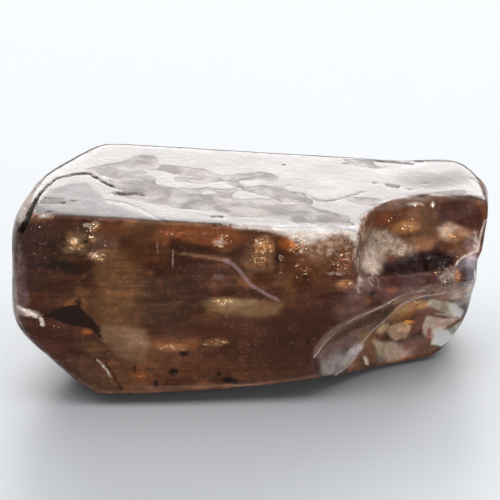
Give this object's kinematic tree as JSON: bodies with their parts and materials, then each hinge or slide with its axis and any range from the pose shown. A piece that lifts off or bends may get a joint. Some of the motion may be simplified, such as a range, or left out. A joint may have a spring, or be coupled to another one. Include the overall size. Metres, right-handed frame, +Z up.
{
  "type": "zircon gemstone",
  "caption": "Rough zircon crystal: a worn tetragonal prism with bevelled ends, a stepped notch and shell-shaped chips, resting on one flat long face.",
  "frame": {"origin": "under the middle of the stone, on its flat resting face", "axes": "+X along the prism's length, +Y toward the back face, +Z up"},
  "size_m": [0.0182, 0.0082, 0.0081],
  "materials": {
    "zircon": "gloss"
  },
  "bodies": {
    "root": {"zircon_crystal": "zircon"}
  },
  "joints": []
}
